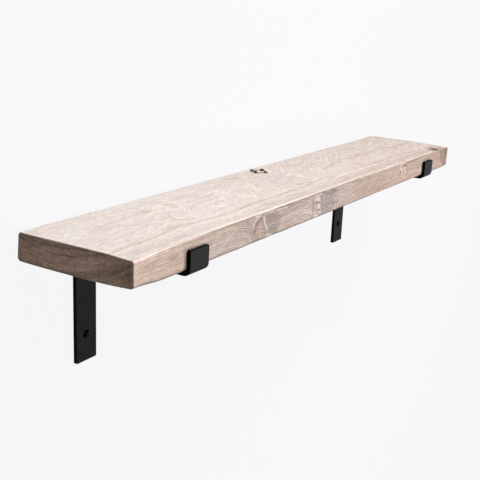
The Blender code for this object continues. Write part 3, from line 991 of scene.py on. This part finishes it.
def recess_depth(x, y):
    """How deep the cross recess is at places on a screw's head."""
    arms = []
    for across, beside in ((abs(x), abs(y)), (abs(y), abs(x))):
        arm = window(beside, fall=(0.55 * RECESS_HALF_SLOT, 1.2 * RECESS_HALF_SLOT))
        arms.append(arm * window(across, fall=(0.45 * RECESS_REACH, RECESS_REACH)))
    return RECESS_DEPTH * np.maximum(*arms)


def screw_mesh(name, diameter, length, head, head_height):
    """A round-head screw whose head is towards its own +Z, with its origin under the head."""
    angles = np.linspace(0, tau, TURN_POINTS, endpoint=False)
    rings = []

    def add_ring(radius, height):
        x, y = radius * np.cos(angles), radius * np.sin(angles)
        rings.append(np.column_stack([x, y, np.full(TURN_POINTS, height)]))

    # the head's dome and its recess
    for slope in np.linspace(0.04, 1, HEAD_RINGS) * pi / 2:
        add_ring(head / 2 * sin(slope), HEAD_RIM + (head_height - HEAD_RIM) * cos(slope))
        x, y, heights = rings[-1].T
        heights -= recess_depth(x, y)
    # the head's rim and underside
    for radius, height in ((head / 2, 0.25 * HEAD_RIM), (head / 2 - HEAD_EASE, 0.0), (diameter / 2, 0.0)):
        add_ring(radius, height)
    # the shank, its thread and its point
    for drop in np.arange(0.4 * MM, length - 0.2 * MM, THREAD_STEP):
        taper = min(1.0, (length - drop) / POINT_LENGTH)
        turn = (drop / THREAD_PITCH + angles / tau) % 1.0
        ridge = np.maximum(0, 1 - abs(turn - 0.5) / THREAD_RIDGE)
        cut_in = THREAD_DEPTH * ramp(*THREAD_START, drop) * (1 - ridge)
        add_ring(taper * (diameter / 2 - cut_in), -drop)
    verts = np.concatenate(rings).tolist()
    faces = tube_faces(len(rings), TURN_POINTS, flip=True)
    # the middle of the recess and the tip of the point
    middle = len(verts)
    last = middle - TURN_POINTS
    verts += [(0, 0, head_height - RECESS_DEPTH), (0, 0, -length)]
    for step in range(TURN_POINTS):
        after = (step + 1) % TURN_POINTS
        faces.append((middle, step, after))
        faces.append((middle + 1, last + after, last + step))
    return new_mesh(name, verts, faces)


def add_screw(node, material):
    """A threaded screw in the place of a CAD one, into the wall or up into the plank."""
    low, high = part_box(node)
    middle = (low + high) / 2
    size = high - low
    name = f"{node}_threaded"
    if "wall" in node:
        length, head = size.y - WALL_HEAD_HEIGHT, size.x + WALL_HEAD_EXTRA
        mesh = screw_mesh(name, WALL_SCREW_DIAMETER, length, head, WALL_HEAD_HEIGHT)
        place = (middle.x, low.y + WALL_HEAD_HEIGHT, middle.z)
        turn = Matrix.Rotation(pi / 2, 4, "X") @ Matrix.Rotation(pi / 4, 4, "Z")
    else:
        length, head = size.z - BOARD_HEAD_HEIGHT, size.x
        mesh = screw_mesh(name, BOARD_SCREW_DIAMETER, length, head, BOARD_HEAD_HEIGHT)
        place = (middle.x, middle.y, low.z + BOARD_HEAD_HEIGHT)
        turn = Matrix.Rotation(pi, 4, "X")
    mesh.transform(Matrix.Translation(place) @ turn)
    add_piece(name, mesh, material, "black_screw", node)


def build_shelf():
    """The plank, the bars and the screws as shown pieces, and the plugs in their own nylon."""
    add_piece("worn_plank", plank_mesh("worn_plank"), wood_material(), "plank", "shelf_board")
    coat = coat_material()
    for side in ("left", "right"):
        node = f"{side}_bracket"
        name = f"{side}_bent_bar"
        bar = add_piece(name, bracket_mesh(name, node), coat, "powder_coat", node)
        bar.modifiers.new("Even shading", "WEIGHTED_NORMAL")
    plating = ((0.0010, 0.0010, 0.0012), (0.0020, 0.0020, 0.0023))
    black = plain_material("black_screw", 700.0, plating, (0.06, 0.10), SCREW_SPECULAR)
    greys = ((0.32, 0.33, 0.34), (0.38, 0.39, 0.40))
    nylon = plain_material("grey_nylon", 400.0, greys, (0.42, 0.55), NYLON_SPECULAR)
    for name, node in list(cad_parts.items()):
        if "screw" in name:
            add_screw(name, black)
        if "plug" in name:
            node.data.materials.clear()
            node.data.materials.append(nylon)


def add_plane(name, material, corners):
    """A flat piece of the stage."""
    mesh = new_mesh(name, corners, [(0, 1, 2, 3)])
    mesh.materials.append(material)
    made = new_object(name, mesh)
    return made


def show_stage(g, colour, shade, hidden):
    """Shows a pale surface, of which a share takes light and shadow, except where it is hidden."""
    pale = g.add("ShaderNodeEmission", {"Color": colour}).outputs[0]
    lit = g.add("ShaderNodeBsdfDiffuse", {"Color": colour}).outputs[0]
    dim = g.add("ShaderNodeBsdfDiffuse", {"Color": [FLOOR_BOUNCE] * 3}).outputs[0]
    clear = g.add("ShaderNodeBsdfTransparent").outputs[0]
    g.show(g.blend(hidden, g.blend(g.seen(), dim, g.blend(shade, pale, lit)), clear))


def add_stage():
    """A pale floor, which fades out far away, and a pale wall that shows from the room's side only."""
    g = Graph("pale_floor")
    reach = g.add("ShaderNodeVectorMath", {0: g.place()}, operation="LENGTH").outputs["Value"]
    show_stage(g, PALE, FLOOR_SHADE, g.span(reach, *FLOOR_FADE, curve="SMOOTHSTEP"))
    floor = add_plane("floor", g.owner, [(-1, -1, 0), (1, -1, 0), (1, 1, 0), (-1, 1, 0)])
    floor.scale = (FLOOR_RADIUS, FLOOR_RADIUS, 1)
    floor.location = (0, 0, FLOOR_HEIGHT)
    g = Graph("pale_wall")
    behind = g.add("ShaderNodeNewGeometry").outputs["Backfacing"]
    show_stage(g, WALL_PALE, WALL_SHADE, behind)
    left, right = -WALL_HALF_WIDTH, WALL_HALF_WIDTH
    y, low, high = WALL_SETBACK, FLOOR_HEIGHT, WALL_TOP
    corners = [(left, y, low), (right, y, low), (right, y, high), (left, y, high)]
    wall = add_plane("wall", g.owner, corners)
    for way in ("diffuse", "glossy", "transmission", "shadow", "volume_scatter"):
        setattr(wall, f"visible_{way}", False)


def add_lamp(name, place, aim, size, power):
    """A round area lamp, turned to what it lights."""
    lamp = bpy.data.lights.new(name, "AREA")
    lamp.shape = "DISK"
    lamp.size = size
    lamp.energy = power
    made = new_object(name, lamp)
    made.location = place
    made.rotation_euler = (Vector(aim) - Vector(place)).to_track_quat("-Z", "Y").to_euler()


def add_light():
    """Two lamps, and a dim sky that looks pale where it is seen."""
    add_lamp("key", place=(0.10, -1.18, 2.25), aim=(0.0, -0.09, 0.0), size=1.6, power=67.0)
    add_lamp("fill", place=(1.0, -1.7, -0.4), aim=(0.0, 0.0, -0.05), size=0.7, power=12.0)
    g = Graph("sky", "worlds")
    sky = g.tree.nodes["Background"]
    g.put((1, 1, 1), sky.inputs["Color"])
    g.put(SKY_LEVEL, sky.inputs["Strength"])
    pale = g.add("ShaderNodeBackground", {"Color": PALE})
    g.show(g.blend(g.seen(), sky.outputs[0], pale.outputs[0]), "World Output")
    bpy.context.scene.world = g.owner


def add_camera():
    """The photograph's own view."""
    lens = bpy.data.cameras.new("camera")
    lens.lens = CAMERA_LENS
    lens.sensor_width = SENSOR
    camera = new_object("camera", lens)
    turn = Matrix.Rotation(-radians(CAMERA_YAW), 4, "Z")
    tilt = Matrix.Rotation(pi / 2 - radians(CAMERA_PITCH), 4, "X")
    roll = Matrix.Rotation(radians(CAMERA_ROLL), 4, "Z")
    camera.matrix_world = Matrix.Translation(CAMERA_PLACE) @ turn @ tilt @ roll
    bpy.context.scene.camera = camera


build_shelf()
add_stage()
add_light()
add_camera()
bpy.context.scene.view_settings.view_transform = "Standard"
